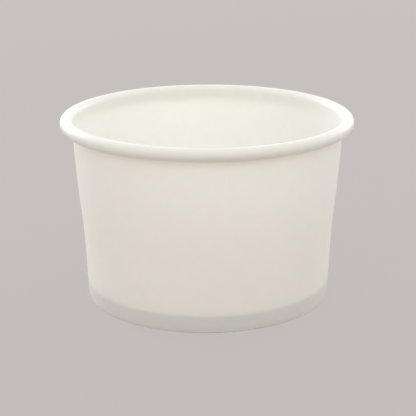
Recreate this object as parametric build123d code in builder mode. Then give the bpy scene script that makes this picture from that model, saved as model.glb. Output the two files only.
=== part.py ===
from build123d import *
from math import acos, atan2, cos, degrees, hypot, sin, tan
import os

# Paper sundae cup: a rolled-rim sidewall around a recessed bottom.
#
# Two pieces of coated paperboard are heat-sealed together. The sidewall is one
# fan-shaped blank, wrapped into a cone and lapped along one side seam, with its
# top edge curled outwards into a bead and its bottom edge folded in and up into
# a hem. The bottom is a disc with its edge turned down into a skirt, which is
# gripped between the wall and the hem and holds the floor clear of the table.
#
# Millimetres, +Z up. The origin is the centre of the circle that stands on the
# table. The side seam faces +X.

# Overall sizes
rim_diameter = 95.0  # over the rolled rim
cup_height = 60.3  # table to the top of the rim
base_diameter = 78.6  # outside of the wall, carried down to the table
bead_diameter = 4.1  # section of the rolled rim
recess_depth = 6.0  # table to the underside of the floor

# Boards and their folds
wall_board = 0.38  # thickness of the sidewall's board
floor_board = 0.35  # thickness of the bottom's board
seal_gap = 0.01  # bond line on each face of the skirt
crease_radius = 0.05  # inside of the two creases at the foot
floor_bend_radius = 0.6  # underside of the bend where the floor turns down
hem_height = 5.2  # table to the hem's raw edge
skirt_foot_gap = 0.15  # fold to the skirt's raw edge above it
curl_edge_gap = 0.15  # wall to the curl's raw edge

# Side seam
seam_width = 7.0  # overlap of the blank's two ends
seam_ramp = 2.5  # length over which the outer end slopes down off the inner end
seam_foot = 1.2  # table to the lap's lower end, above the creases
seam_floor_gap = 1.0  # floor to the lower end of the step inside the cup
seam_ironed = 6.0  # height below the curl over which the step inside fades out
seam_root = 0.2  # how deep the lap is bonded into the wall
seam_feather = 0.02  # thickness at which a slope runs out

# Lean of the wall: its outer face runs straight from the foot to the inside of
# the curl, and touches the curl as a tangent.
base_radius = base_diameter / 2
bead_radius = bead_diameter / 2
bead_centre_r = rim_diameter / 2 - bead_radius
bead_centre_z = cup_height - bead_radius
curl_inner_radius = bead_radius - wall_board
bead_beyond_base = bead_centre_r - base_radius
bead_bearing = atan2(bead_centre_z, bead_beyond_base)
lean = acos(curl_inner_radius / hypot(bead_beyond_base, bead_centre_z)) - bead_bearing
up_the_wall = (sin(lean), cos(lean))
down_the_wall = (-sin(lean), -cos(lean))


def wall_outside(height):
    """Radius of the wall's outer face at a height."""
    return base_radius + height * tan(lean)


def wall_inside(height):
    """Radius of the wall's inner face at a height."""
    return wall_outside(height) - wall_board / cos(lean)


# Foot and curl: the board turns in under the wall over two creases with a
# narrow flat between them, which the cup stands on.
channel_width = floor_board + 2 * seal_gap
crease_outside = crease_radius + wall_board
crease_middle = crease_radius + wall_board / 2
flat_end_r = base_radius - crease_outside * (1 - sin(lean)) / cos(lean)
flat_start_r = flat_end_r - (channel_width - 2 * crease_radius) / cos(lean)
foot_turn = 90 - degrees(lean)
toe_turn = 90 + degrees(lean)
wall_start_z = crease_outside - crease_middle * sin(lean)
hem_start_z = crease_outside + crease_middle * sin(lean)
curl_middle = bead_radius - wall_board / 2
wall_end_z = bead_centre_z + curl_middle * sin(lean)
wall_run = (wall_end_z - wall_start_z) / cos(lean)
hem_run = (hem_height - hem_start_z) / cos(lean)
curl_turn = 360 - degrees(acos((curl_inner_radius - curl_edge_gap) / bead_radius))

# Floor: its skirt runs parallel to the wall, inside it by one bond line.
floor_top_z = recess_depth + floor_board
floor_middle_z = recess_depth + floor_board / 2
bend_middle = floor_bend_radius + floor_board / 2
bend_centre_z = recess_depth - floor_bend_radius
skirt_inset = wall_board + seal_gap + floor_board / 2
bend_centre_r = wall_outside(bend_centre_z) - (skirt_inset + bend_middle) / cos(lean)
skirt_start_z = bend_centre_z - bend_middle * sin(lean)
skirt_end_z = wall_board + skirt_foot_gap + floor_board / 2 * sin(lean)
skirt_run = (skirt_start_z - skirt_end_z) / cos(lean)

# Side seam, as lengths round the wall from the +X side: the raw end of the
# blank lies outside at seam_end, its hidden end inside at seam_start.
seam_start = -seam_width / 2
seam_end = seam_width / 2
slope_end = seam_start - seam_ramp
step_foot_z = floor_top_z + seam_floor_gap
step_fade_z = bead_centre_z - bead_radius - seam_ironed
step_depths = {
    step_foot_z: wall_board,
    step_fade_z: wall_board,
    bead_centre_z: seam_feather,
}


def round_the_wall(radius, length):
    """Point at a radius from the axis, a length round from the +X side."""
    return Vector(radius, 0).rotate(Axis.Z, degrees(length / radius))


def lap_plan(height):
    """Board that the lap adds outside the wall: square at the raw end, and
    sloping off past the hidden end."""
    bed = wall_outside(height) - seam_root
    crown = wall_outside(height) + wall_board
    with BuildLine() as outline:
        raw_end = Line(round_the_wall(bed, seam_end), round_the_wall(crown, seam_end))
        top = ThreePointArc(
            raw_end @ 1, (crown, 0), round_the_wall(crown, seam_start)
        )
        slope_foot = round_the_wall(wall_outside(height) + seam_feather, slope_end)
        slope = Line(top @ 1, slope_foot)
        run_out = Line(slope @ 1, round_the_wall(bed, slope_end))
        ThreePointArc(run_out @ 1, (bed, 0), raw_end @ 0)
    make_face(outline.edges())


def step_plan(height, depth):
    """Groove that the lap leaves inside the wall, beside the hidden end."""
    inside = wall_inside(height)
    with BuildLine() as outline:
        Polyline(
            round_the_wall(inside - seam_root, seam_start),
            round_the_wall(inside + depth, seam_start),
            round_the_wall(inside + seam_feather, slope_end),
            round_the_wall(inside - seam_root, slope_end),
            close=True,
        )
    make_face(outline.edges())


with BuildPart() as sidewall:
    with BuildSketch(Plane.XZ):
        with BuildLine():
            flat = Line((flat_start_r, wall_board / 2), (flat_end_r, wall_board / 2))
            foot = JernArc(flat @ 1, flat % 1, crease_middle, foot_turn)
            wall = PolarLine(foot @ 1, wall_run, direction=up_the_wall)
            JernArc(wall @ 1, wall % 1, curl_middle, -curl_turn)
            toe = JernArc(flat @ 0, (-1, 0), crease_middle, -toe_turn)
            PolarLine(toe @ 1, hem_run, direction=up_the_wall)
        trace(line_width=wall_board)
    revolve(axis=Axis.Z)
    for height in (seam_foot, bead_centre_z):
        with BuildSketch(Plane.XY.offset(height)):
            lap_plan(height)
    loft(ruled=True)
    for height, depth in step_depths.items():
        with BuildSketch(Plane.XY.offset(height)):
            step_plan(height, depth)
    loft(ruled=True, mode=Mode.SUBTRACT)

with BuildPart() as bottom:
    with BuildSketch(Plane.XZ):
        with BuildLine():
            disc = Line((0, floor_middle_z), (bend_centre_r, floor_middle_z))
            bend = JernArc(disc @ 1, disc % 1, bend_middle, -toe_turn)
            PolarLine(bend @ 1, skirt_run, direction=down_the_wall)
        trace(line_width=floor_board)
    revolve(axis=Axis.Z)

sidewall.part.label = "sidewall"
bottom.part.label = "bottom"
os.makedirs("parts", exist_ok=True)
export_step(sidewall.part, "parts/sidewall.step")
export_step(bottom.part, "parts/bottom.step")
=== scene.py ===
import logging
import math
from dataclasses import dataclass, field
from enum import IntEnum

import bpy
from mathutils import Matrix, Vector


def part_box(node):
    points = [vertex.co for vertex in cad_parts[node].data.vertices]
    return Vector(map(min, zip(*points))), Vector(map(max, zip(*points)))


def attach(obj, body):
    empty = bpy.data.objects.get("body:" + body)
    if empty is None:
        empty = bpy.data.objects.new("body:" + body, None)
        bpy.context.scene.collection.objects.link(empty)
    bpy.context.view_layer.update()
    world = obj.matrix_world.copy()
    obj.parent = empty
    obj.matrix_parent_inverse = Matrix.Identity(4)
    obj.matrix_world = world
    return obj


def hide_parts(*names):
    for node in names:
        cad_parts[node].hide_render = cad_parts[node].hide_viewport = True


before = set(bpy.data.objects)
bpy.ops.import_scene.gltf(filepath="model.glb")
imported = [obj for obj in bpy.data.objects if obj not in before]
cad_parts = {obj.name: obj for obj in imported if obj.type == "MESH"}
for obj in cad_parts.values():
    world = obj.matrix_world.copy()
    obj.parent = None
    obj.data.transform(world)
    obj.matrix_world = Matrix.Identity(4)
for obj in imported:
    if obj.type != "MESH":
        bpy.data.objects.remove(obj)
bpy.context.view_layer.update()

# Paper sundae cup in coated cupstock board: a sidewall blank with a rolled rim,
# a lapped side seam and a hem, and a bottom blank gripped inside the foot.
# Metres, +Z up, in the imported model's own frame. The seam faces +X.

MM = 0.001
# Edges that turn further than this stay crisp, and finer doubles than this merge
CRISP_EDGE = math.radians(35)
DOUBLES = 0.005 * MM
# Sockets of a Mix node that mixes colours, which share their names with others
MIX_A, MIX_B, MIX_RESULT = 6, 7, 2
log = logging.getLogger("sundae_cup")


class BoardFace(IntEnum):
    """Material slots of a board piece."""

    TABLE_SIDE = 0
    FOOD_SIDE = 1
    RAW_EDGE = 2


# Colour and node helpers


def linear(hex_colour: str) -> tuple[float, float, float, float]:
    """Turns an sRGB hex colour into linear RGBA.

    Args:
        hex_colour: six hex digits after a hash.

    Returns:
        The colour in linear light, with an alpha of 1.
    """
    channels = [int(hex_colour[i : i + 2], 16) / 255 for i in (1, 3, 5)]
    return (
        *(c / 12.92 if c <= 0.04045 else ((c + 0.055) / 1.055) ** 2.4 for c in channels),
        1.0,
    )


def add_node(
    tree: bpy.types.NodeTree, kind: str, settings: dict | None = None, links: dict | None = None
) -> bpy.types.Node:
    """Adds a shader node with its settings and links.

    Args:
        tree: the node tree it goes into.
        kind: the node's type name.
        settings: values by socket name, or by property name.
        links: output sockets by the name of the input that they feed.

    Returns:
        The new node.
    """
    node = tree.nodes.new(kind)
    for name, value in (settings or {}).items():
        if isinstance(name, str) and hasattr(node, name):
            setattr(node, name, value)
        else:
            node.inputs[name].default_value = value
    for name, output in (links or {}).items():
        tree.links.new(output, node.inputs[name])
    return node


# Finishes


@dataclass(frozen=True)
class BoardFinish:
    """One face of bleached cupstock: solid sulphate board, calendered smooth.

    Light passes into the fibres and through the single board, so the wall glows
    warm where the lit inside lies behind it and greys where boards are stacked.

    Attributes:
        name: material name.
        colour: board colour as sRGB hex.
        shade: colour of the thicker tufts of fibre, as sRGB hex.
        roughness: roughness of the face.
        fibre_depth: height of the fibre relief, in metres.
        coat: weight of the polyethylene film's shine.
        tuft: size of the tufts of fibre, in metres.
        fibre: size of the fibre relief, in metres, drawn as coarse as it needs to show.
        light_path: how far light wanders in flat board, in metres.
        rolled_light_path: how far it wanders in the rolled rim, whose fibres are crushed.
        flat_up_to: height up to which the board is flat.
        rolled_from: height from which it is rolled.
    """

    name: str
    colour: str
    shade: str
    roughness: float
    fibre_depth: float
    coat: float
    tuft: float = 2.4 * MM
    fibre: float = 0.45 * MM
    light_path: float = 0.8 * MM
    rolled_light_path: float = 0.2 * MM
    flat_up_to: float = 53.0 * MM
    rolled_from: float = 56.5 * MM

    def material(self) -> bpy.types.Material:
        """Builds the material.

        Returns:
            A node material that reads Object coordinates.
        """
        made = bpy.data.materials.new(self.name)
        made.use_nodes = True
        tree = made.node_tree
        tree.nodes.clear()
        place = add_node(tree, "ShaderNodeTexCoord").outputs["Object"]
        tufts = add_node(
            tree,
            "ShaderNodeTexNoise",
            {"Scale": 1 / self.tuft, "Detail": 3.0, "Roughness": 0.55},
            {"Vector": place},
        )
        fibres = add_node(
            tree,
            "ShaderNodeTexNoise",
            {"Scale": 1 / self.fibre, "Detail": 4.0, "Roughness": 0.6},
            {"Vector": place},
        )
        colour = add_node(
            tree,
            "ShaderNodeMix",
            {"data_type": "RGBA", MIX_A: linear(self.colour), MIX_B: linear(self.shade)},
            {"Factor": tufts.outputs["Fac"]},
        )
        relief = add_node(
            tree,
            "ShaderNodeBump",
            {"Strength": 1.0, "Distance": self.fibre_depth},
            {"Height": fibres.outputs["Fac"]},
        )
        height = add_node(tree, "ShaderNodeSeparateXYZ", links={"Vector": place}).outputs["Z"]
        path = add_node(
            tree,
            "ShaderNodeMapRange",
            {
                "From Min": self.flat_up_to,
                "From Max": self.rolled_from,
                "To Min": self.light_path,
                "To Max": self.rolled_light_path,
            },
            {"Value": height},
        )
        surface = add_node(
            tree,
            "ShaderNodeBsdfPrincipled",
            {
                "Roughness": self.roughness,
                "IOR": 1.5,
                "Subsurface Weight": 1.0,
                "Subsurface Radius": (1.0, 0.97, 0.93),
                "Coat Weight": self.coat,
                "Coat Roughness": 0.3,
            },
            {
                "Base Color": colour.outputs[MIX_RESULT],
                "Normal": relief.outputs["Normal"],
                "Subsurface Scale": path.outputs["Result"],
            },
        )
        add_node(
            tree, "ShaderNodeOutputMaterial", links={"Surface": surface.outputs["BSDF"]}
        )
        return made


# Calendered and uncoated: an even, slightly warm white without a sheen
OUTSIDE = BoardFinish(
    name="cupstock_board_outside",
    colour="#F5F3EF",
    shade="#F1EEE9",
    roughness=0.5,
    fibre_depth=0.01 * MM,
    coat=0.0,
)

# Under an extruded polyethylene film: smoother and whiter, with a soft sheen
INSIDE = BoardFinish(
    name="cupstock_board_film_side",
    colour="#F7F6F2",
    shade="#F3F2ED",
    roughness=0.42,
    fibre_depth=0.006 * MM,
    coat=0.15,
)

# Die cut: torn fibre ends, duller and yellower than either face
CUT_EDGE = BoardFinish(
    name="cupstock_board_cut_edge",
    colour="#F0EBE0",
    shade="#E4DCCC",
    roughness=0.85,
    fibre_depth=0.03 * MM,
    coat=0.0,
)


# Modelling helpers


def start_piece(name: str) -> bpy.types.Object:
    """Collapses a small primitive to one selected point, and stays in edit mode.

    Args:
        name: name of the new piece.

    Returns:
        The new object, at the origin.
    """
    bpy.ops.object.select_all(action="DESELECT")
    bpy.ops.mesh.primitive_circle_add(vertices=3, radius=MM, fill_type="NOTHING")
    piece = bpy.context.object
    piece.name = piece.data.name = name
    bpy.ops.object.mode_set(mode="EDIT")
    bpy.ops.mesh.select_all(action="SELECT")
    bpy.ops.mesh.merge(type="CENTER")
    return piece


@dataclass
class ProfilePen:
    """Draws a board's middle line in the XZ plane, from the selected point.

    Attributes:
        at: distance from the axis, and height.
        heading: direction of travel, in radians above +X.
    """

    at: Vector
    heading: float

    def __post_init__(self) -> None:
        """Puts the selected point where the line starts."""
        bpy.ops.transform.translate(value=(self.at.x, 0, self.at.y))

    def along(self, length: float) -> Vector:
        """Gives the step of a length in the direction of travel."""
        return Vector((math.cos(self.heading), math.sin(self.heading))) * length

    def run(self, length: float, steps: int) -> None:
        """Draws a straight run.

        Args:
            length: its length.
            steps: how many edges it has.
        """
        step = self.along(length / steps)
        for _ in range(steps):
            bpy.ops.mesh.extrude_region_move(
                TRANSFORM_OT_translate={"value": (step.x, 0, step.y)}
            )
        self.at = self.at + self.along(length)

    def turn(self, radius: float, angle: float, steps: int) -> None:
        """Draws an arc that starts along the direction of travel.

        Args:
            radius: radius of the board's middle.
            angle: turn in radians, positive to the left.
            steps: how many edges it has.
        """
        side = math.copysign(radius, angle)
        centre = self.at + Vector((-math.sin(self.heading), math.cos(self.heading))) * side
        bpy.ops.mesh.spin(
            steps=steps, angle=angle, center=(centre.x, 0, centre.y), axis=(0, 1, 0)
        )
        self.heading += angle
        self.at = centre - Vector((-math.sin(self.heading), math.cos(self.heading))) * side


def sweep(stretches: list[tuple[float, int]]) -> None:
    """Carries the selected profile round the Z axis, towards +Y from +X.

    Args:
        stretches: angle in radians and number of columns of each stretch.
    """
    for angle, steps in stretches:
        bpy.ops.mesh.spin(
            steps=steps, angle=angle, center=(0, 0, 0), axis=(0, 0, -1), use_auto_merge=False
        )


def close_sheet() -> None:
    """Joins the swept sheet's ends and points its normals to the table side."""
    bpy.ops.mesh.select_all(action="SELECT")
    bpy.ops.mesh.remove_doubles(threshold=DOUBLES)
    bpy.ops.mesh.normals_make_consistent(inside=True)
    bpy.ops.object.mode_set(mode="OBJECT")


def thicken(piece: bpy.types.Object, board: float) -> None:
    """Gives the sheet the board's thickness, with a slot for each BoardFace.

    Args:
        piece: the closed sheet, in object mode.
        board: thickness of the board.
    """
    piece.vertex_groups.new(name="food_side")
    for _ in BoardFace:
        piece.data.materials.append(None)
    wall = piece.modifiers.new("board", "SOLIDIFY")
    wall.thickness = board
    wall.offset = 0.0
    wall.use_even_offset = True
    wall.material_offset = BoardFace.FOOD_SIDE
    wall.material_offset_rim = BoardFace.RAW_EDGE
    wall.shell_vertex_group = "food_side"
    bpy.ops.object.modifier_apply(modifier="board")


def set_weights(piece: bpy.types.Object, name: str, weights: dict[int, float]) -> None:
    """Makes a vertex group from weights by vertex.

    Args:
        piece: the piece, in object mode.
        name: name of the group.
        weights: a weight for each vertex that is in the group.
    """
    group = piece.vertex_groups.new(name=name)
    for index, weight in weights.items():
        group.add([index], weight, "REPLACE")


def push(piece: bpy.types.Object, group: str, distance: float) -> None:
    """Moves a vertex group along its normals, as far as its weights say.

    Args:
        piece: the piece, in object mode.
        group: name of the group.
        distance: how far a vertex of weight 1 moves.
    """
    press = piece.modifiers.new(group, "DISPLACE")
    press.direction = "NORMAL"
    press.mid_level = 0.0
    press.strength = distance
    press.vertex_group = group
    bpy.ops.object.modifier_apply(modifier=group)


def ramp(value: float, low: float, high: float) -> float:
    """Rises from 0 at low to 1 at high, or falls if low is the larger."""
    return min(max((value - low) / (high - low), 0.0), 1.0)


def finish_piece(
    piece: bpy.types.Object, node: str, finishes: list[bpy.types.Material]
) -> None:
    """Smooths the faces, leaves the cut edges crisp, and joins the piece to the frame.

    Args:
        piece: the piece, in object mode.
        node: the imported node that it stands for.
        finishes: materials in the order of BoardFace.
    """
    bpy.ops.object.shade_smooth_by_angle(angle=CRISP_EDGE)
    for index, finish in enumerate(finishes):
        piece.data.materials[index] = finish
    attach(piece, "root")
    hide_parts(node)
    log.info("%s: %d faces", piece.name, len(piece.data.polygons))


# The cup


@dataclass
class Sidewall:
    """The wrapped blank: hem, foot, wall, rolled rim and side seam.

    Attributes:
        rim_radius: over the rolled rim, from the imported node.
        height: table to the top of the rim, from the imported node.
        base_radius: outside of the wall, carried down to the table.
        bead: diameter of the rolled rim's section.
        board: thickness of the board.
        channel: gap between wall and hem that holds the bottom's skirt.
        crease: inside radius of the two creases at the foot.
        hem_height: table to the hem's raw edge.
        curl_gap: curl's raw edge to the wall.
        lap: width of the side seam.
        lap_slope: length over which the outer end slopes off the inner end.
        cut: width that a board's cut end takes round the wall.
        rim_step: share of the board's thickness that the lap keeps in the rim.
        rim_step_reach: how far from the bead's centre a point counts as in the curl,
            as a share of the bead's radius.
        lap_low: height up to which the creases lie flat, without a step.
        lap_full: height from which the lap has its full step.
        columns_round: columns of the wall between the lap and its slope.
        waist: how far the wall draws in between its pressed foot and its rim.
        waist_top: height at which the wall is straight again.
    """

    rim_radius: float
    height: float
    base_radius: float = 39.55 * MM
    bead: float = 4.1 * MM
    board: float = 0.38 * MM
    channel: float = 0.37 * MM
    crease: float = 0.05 * MM
    hem_height: float = 5.2 * MM
    curl_gap: float = 0.15 * MM
    lap: float = 7.0 * MM
    lap_slope: float = 2.5 * MM
    cut: float = 0.04 * MM
    rim_step: float = 0.2
    rim_step_reach: float = 1.02
    lap_low: float = 0.9 * MM
    lap_full: float = 1.6 * MM
    columns_round: int = 300
    waist: float = 0.45 * MM
    waist_top: float = 42.0 * MM
    lean: float = field(init=False)

    def __post_init__(self) -> None:
        """Works out the lean that makes the wall's outer face touch the curl."""
        across = self.bead_at.x - self.base_radius
        up = self.bead_at.y
        inner = self.bead / 2 - self.board
        self.lean = math.acos(inner / math.hypot(across, up)) - math.atan2(up, across)

    @property
    def bead_at(self) -> Vector:
        """Centre of the rolled rim's section."""
        return Vector((self.rim_radius - self.bead / 2, self.height - self.bead / 2))

    def wall_outside(self, height: float) -> float:
        """Radius of the wall's outer face at a height."""
        return self.base_radius + height * math.tan(self.lean)

    def draw(self) -> bpy.types.Object:
        """Draws the middle line of the board, from the hem's raw edge to the curl's.

        Returns:
            The piece, in edit mode, with its whole profile selected.
        """
        middle = self.crease + self.board / 2
        outer = self.crease + self.board
        foot_end = self.base_radius - outer * (1 - math.sin(self.lean)) / math.cos(self.lean)
        flat = (self.channel - 2 * self.crease) / math.cos(self.lean)
        hem_start = outer + middle * math.sin(self.lean)
        hem_run = (self.hem_height - hem_start) / math.cos(self.lean)
        wall_start = outer - middle * math.sin(self.lean)
        curl = self.bead / 2 - self.board / 2
        wall_end = self.bead_at.y + curl * math.sin(self.lean)
        inner = self.bead / 2 - self.board
        curl_turn = math.tau - math.acos((inner - self.curl_gap) / (self.bead / 2))

        up = Vector((math.sin(self.lean), math.cos(self.lean)))
        across = Vector((math.cos(self.lean), -math.sin(self.lean)))
        hem_foot = Vector((foot_end - flat, outer)) - across * middle
        piece = start_piece("cup_sidewall")
        pen = ProfilePen(hem_foot + up * hem_run, math.radians(-90) - self.lean)
        pen.run(hem_run, steps=6)
        pen.turn(middle, math.radians(90) + self.lean, steps=5)
        pen.run(flat, steps=2)
        pen.turn(middle, math.radians(90) - self.lean, steps=5)
        pen.run((wall_end - wall_start) / math.cos(self.lean), steps=30)
        pen.turn(curl, -curl_turn, steps=32)
        bpy.ops.mesh.select_all(action="SELECT")
        return piece

    def columns(self) -> list[tuple[float, int]]:
        """Angles and columns of the sweep, from the hidden end of the blank.

        Returns:
            The stretches of the sweep, with a narrow one at each cut end.
        """
        return [
            (self.angle(self.cut), 1),
            (self.angle(self.lap - self.cut), 8),
            (self.angle(self.cut), 1),
            (math.tau - self.angle(self.lap + self.lap_slope + self.cut), self.columns_round),
            (self.angle(self.lap_slope), 5),
        ]

    def angle(self, length: float) -> float:
        """Angle about the axis of a length round the middle of the wall."""
        return length / self.wall_outside(self.height / 2)

    def draw_in_waist(self, piece: bpy.types.Object) -> None:
        """Draws the wall in a little between its foot and its middle.

        Args:
            piece: the sidewall's sheet, in object mode.
        """
        drawn = {}
        for v in piece.data.vertices:
            beside_wall = self.wall_outside(v.co.z) - math.hypot(v.co.x, v.co.y)
            if v.co.z < self.waist_top and beside_wall < self.board:
                drawn[v.index] = math.sin(math.pi * v.co.z / self.waist_top) ** 2
        set_weights(piece, "waist", drawn)
        push(piece, "waist", -self.waist)

    def lap_seam(self, piece: bpy.types.Object) -> None:
        """Steps the board out over its hidden end, and squares its raw end.

        Args:
            piece: the thickened sidewall, in object mode.
        """
        quarter_cut = self.angle(self.cut) / 4
        hidden = -self.angle(self.lap + self.cut) / 2
        raw = -hidden
        slope = hidden - self.angle(self.lap_slope)
        food = piece.vertex_groups["food_side"].index
        lifted, sunk = {}, {}
        for v in piece.data.vertices:
            round_axis = math.atan2(v.co.y, v.co.x)
            if not slope < round_axis < raw + quarter_cut:
                continue
            from_bead = Vector((math.hypot(v.co.x, v.co.y), v.co.z)) - self.bead_at
            in_curl = from_bead.length < self.bead / 2 * self.rim_step_reach and (
                from_bead.y > 0 or from_bead.x > -self.bead / 2 + self.board * 1.5
            )
            foot = ramp(v.co.z, self.lap_low, self.lap_full)
            over = ramp(round_axis, slope, hidden)
            on_food_side = any(g.group == food for g in v.groups)
            hem = from_bead.x < self.wall_outside(v.co.z) - self.bead_at.x - 2 * self.board
            if hem and v.co.z < self.hem_height + MM:
                continue
            if on_food_side or in_curl:
                if round_axis < hidden + quarter_cut:
                    share = self.rim_step if in_curl else 1.0
                    target = sunk if on_food_side else lifted
                    target[v.index] = over * foot * share
            else:
                under_curl = ramp(v.co.z, self.height - self.bead * 0.75, self.height - self.bead)
                lifted[v.index] = over * foot * under_curl
        set_weights(piece, "lap_lifted", lifted)
        set_weights(piece, "lap_sunk", sunk)
        push(piece, "lap_lifted", self.board)
        push(piece, "lap_sunk", -self.board)

    def build(self) -> bpy.types.Object:
        """Makes the piece.

        Returns:
            The finished sidewall.
        """
        piece = self.draw()
        bpy.ops.transform.rotate(
            value=self.angle(self.lap + self.cut) / 2,
            orient_axis="Z",
            center_override=(0, 0, 0),
        )
        sweep(self.columns())
        close_sheet()
        self.draw_in_waist(piece)
        thicken(piece, self.board)
        self.lap_seam(piece)
        return piece


@dataclass
class Bottom:
    """The round blank: a floor with a shallow pressed pan, and its skirt.

    Attributes:
        wall: the sidewall that grips it.
        floor_top: height of the floor's upper face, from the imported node.
        board: thickness of the board.
        bond: gap between the skirt and the wall.
        bend: inside radius where the floor turns down.
        skirt_gap: fold of the foot to the skirt's raw edge.
        pan: depth of the pressed pan.
        pan_slope: slope of the pan's edge, in radians.
        pan_round: radius of the two bends at the pan's edge.
        ledge: flat width between the pan and the bend.
        columns: columns of the sweep.
    """

    wall: Sidewall
    floor_top: float
    board: float = 0.35 * MM
    bond: float = 0.01 * MM
    bend: float = 1.0 * MM
    skirt_gap: float = 0.15 * MM
    pan: float = 0.25 * MM
    pan_slope: float = math.radians(6)
    pan_round: float = 3.0 * MM
    ledge: float = 2.5 * MM
    columns: int = 240

    def build(self) -> bpy.types.Object:
        """Makes the piece.

        Returns:
            The finished bottom.
        """
        lean, middle = self.wall.lean, self.bend + self.board / 2
        level = self.floor_top - self.board / 2
        bend_z = level - middle
        inset = self.wall.board + self.bond + self.board / 2 + middle
        bend_r = self.wall.wall_outside(bend_z) - inset / math.cos(lean)
        skirt_top = bend_z - middle * math.sin(lean)
        skirt_end = self.wall.board + self.skirt_gap + self.board / 2 * math.sin(lean)

        rounded = 2 * self.pan_round * (1 - math.cos(self.pan_slope))
        slope = (self.pan - rounded) / math.sin(self.pan_slope)
        pan_edge = slope * math.cos(self.pan_slope)
        pan_edge += 2 * self.pan_round * math.sin(self.pan_slope)

        piece = start_piece("cup_bottom")
        pen = ProfilePen(Vector((0, level - self.pan)), 0.0)
        pen.run(bend_r - self.ledge - pan_edge, steps=8)
        pen.turn(self.pan_round, self.pan_slope, steps=3)
        pen.run(slope, steps=2)
        pen.turn(self.pan_round, -self.pan_slope, steps=3)
        pen.run(self.ledge, steps=2)
        pen.turn(middle, -(math.radians(90) + lean), steps=8)
        pen.run((skirt_top - skirt_end) / math.cos(lean), steps=5)
        bpy.ops.mesh.select_all(action="SELECT")
        sweep([(math.tau, self.columns)])
        close_sheet()
        thicken(piece, self.board)
        return piece


# Stage


@dataclass(frozen=True)
class Lamp:
    """A square soft box.

    Attributes:
        name: its name.
        at: where it stands.
        size: length of its side.
        power: its power in watts.
        colour: its light as sRGB hex.
    """

    name: str
    at: tuple[float, float, float]
    size: float
    power: float
    colour: str = "#FFFFFF"

    def place(self, target: Vector) -> None:
        """Adds the lamp, facing a point.

        Args:
            target: the point that it faces.
        """
        lamp = bpy.data.lights.new(self.name, "AREA")
        lamp.shape, lamp.size, lamp.energy = "SQUARE", self.size, self.power
        lamp.color = linear(self.colour)[:3]
        stand = bpy.data.objects.new(self.name, lamp)
        stand.location = self.at
        stand.rotation_euler = (target - stand.location).to_track_quat("-Z", "Y").to_euler()
        stand.visible_camera = False
        bpy.context.scene.collection.objects.link(stand)


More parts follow.
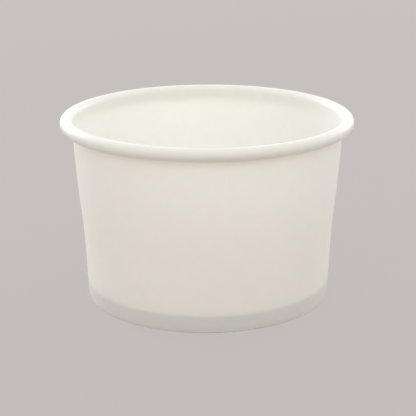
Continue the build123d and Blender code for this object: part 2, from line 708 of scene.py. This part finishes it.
@dataclass
class Studio:
    """Pale floor, soft lamps, even surroundings and the camera.

    Attributes:
        backdrop: colour that floor and surroundings show, as sRGB hex.
        floor_paint: colour of the floor itself, which the lamps bring close to the backdrop.
        floor_side: length of the floor's side.
        shadow_share: how much of the floor's own shading shows in its colour.
        sky: brightness of the surroundings as light.
        sky_colour: their colour as light, as sRGB hex.
        lens: focal length in millimetres.
        sensor: width of the camera's sensor in millimetres.
        camera_at: where the camera stands.
        pitch: how far the camera looks down, in radians.
        roll: how far it leans, in radians.
    """

    backdrop: str = "#C4C0BF"
    floor_paint: str = "#BEB6AF"
    floor_side: float = 8.0
    shadow_share: float = 0.14
    sky: float = 0.93
    sky_colour: str = "#FFFEFB"
    lens: float = 114.0
    sensor: float = 36.0
    camera_at: tuple[float, float, float] = (0.00025, -0.4166, 0.1561)
    pitch: float = math.radians(17.06)
    roll: float = math.radians(0.24)
    lamps: tuple[Lamp, ...] = (
        Lamp("back_left_softbox", (-0.8, 1.0, 0.4), 0.6, 6.6, "#F1FDFF"),
        Lamp("back_right_softbox", (0.8, 1.0, 0.4), 0.6, 2.9, "#F5FDFF"),
        Lamp("back_softbox", (0.0, 1.3, 0.4), 0.8, 1.6, "#FFF8E9"),
        Lamp("top_front_softbox", (0.0, -0.6, 1.2), 0.9, 1.2, "#FFE9C8"),
    )

    def backdrop_rays(self, tree: bpy.types.NodeTree) -> bpy.types.NodeSocket:
        """Picks out the rays that should see the backdrop's own colour.

        Args:
            tree: a floor's or world's node tree.

        Returns:
            A socket that is 1 for camera, glossy and transmission rays.
        """
        path = add_node(tree, "ShaderNodeLightPath").outputs
        mirrored = add_node(tree, "ShaderNodeMath", {"operation": "MAXIMUM"})
        tree.links.new(path["Is Glossy Ray"], mirrored.inputs[0])
        tree.links.new(path["Is Transmission Ray"], mirrored.inputs[1])
        seen = add_node(tree, "ShaderNodeMath", {"operation": "MAXIMUM"})
        tree.links.new(path["Is Camera Ray"], seen.inputs[0])
        tree.links.new(mirrored.outputs[0], seen.inputs[1])
        return seen.outputs[0]

    def lay_floor(self) -> None:
        """Lays the floor, which keeps a share of the cup's shadow."""
        bpy.ops.object.select_all(action="DESELECT")
        bpy.ops.mesh.primitive_plane_add(size=self.floor_side)
        floor = bpy.context.object
        floor.name = "studio_floor"
        paper = bpy.data.materials.new("matt_studio_floor")
        paper.use_nodes = True
        tree = paper.node_tree
        tree.nodes.clear()
        shaded = add_node(tree, "ShaderNodeBsdfDiffuse", {"Color": linear(self.floor_paint)})
        flat = add_node(tree, "ShaderNodeEmission", {"Color": linear(self.backdrop)})
        share = add_node(
            tree,
            "ShaderNodeMath",
            {"operation": "MULTIPLY", 1: 1 - self.shadow_share},
            {0: self.backdrop_rays(tree)},
        )
        both = add_node(
            tree,
            "ShaderNodeMixShader",
            links={0: share.outputs[0], 1: shaded.outputs[0], 2: flat.outputs[0]},
        )
        add_node(tree, "ShaderNodeOutputMaterial", links={"Surface": both.outputs[0]})
        floor.data.materials.append(paper)

    def light(self, target: Vector) -> None:
        """Sets the lamps and the surroundings.

        Args:
            target: the point that the lamps face.
        """
        for lamp in self.lamps:
            lamp.place(target)
        world = bpy.data.worlds.new("studio_surroundings")
        bpy.context.scene.world = world
        world.use_nodes = True
        tree = world.node_tree
        tree.nodes.clear()
        sky = add_node(
            tree,
            "ShaderNodeBackground",
            {"Color": linear(self.sky_colour), "Strength": self.sky},
        )
        seen = add_node(tree, "ShaderNodeBackground", {"Color": linear(self.backdrop)})
        both = add_node(
            tree,
            "ShaderNodeMixShader",
            links={0: self.backdrop_rays(tree), 1: sky.outputs[0], 2: seen.outputs[0]},
        )
        add_node(tree, "ShaderNodeOutputWorld", links={"Surface": both.outputs[0]})

    def set_camera(self) -> None:
        """Stands the camera in front of the cup, looking a little down into it."""
        lens = bpy.data.cameras.new("camera")
        lens.lens, lens.sensor_width = self.lens, self.sensor
        camera = bpy.data.objects.new("camera", lens)
        camera.location = self.camera_at
        camera.rotation_euler = (math.radians(90) - self.pitch, 0.0, 0.0)
        camera.rotation_euler.rotate_axis("Z", -self.roll)
        bpy.context.scene.collection.objects.link(camera)
        bpy.context.scene.camera = camera
        bpy.context.scene.view_settings.view_transform = "Standard"


def main() -> None:
    """Builds the studio and the cup, and notes the size of the result."""
    logging.basicConfig(level=logging.INFO, format="%(message)s")
    low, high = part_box("sidewall")
    studio = Studio()
    studio.set_camera()
    studio.lay_floor()
    studio.light((low + high) / 2)

    finishes = [finish.material() for finish in (OUTSIDE, INSIDE, CUT_EDGE)]
    sidewall = Sidewall(rim_radius=high.y, height=high.z)
    finish_piece(sidewall.build(), "sidewall", finishes)
    bottom = Bottom(wall=sidewall, floor_top=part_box("bottom")[1].z)
    finish_piece(bottom.build(), "bottom", finishes)


if __name__ == "__main__":
    main()
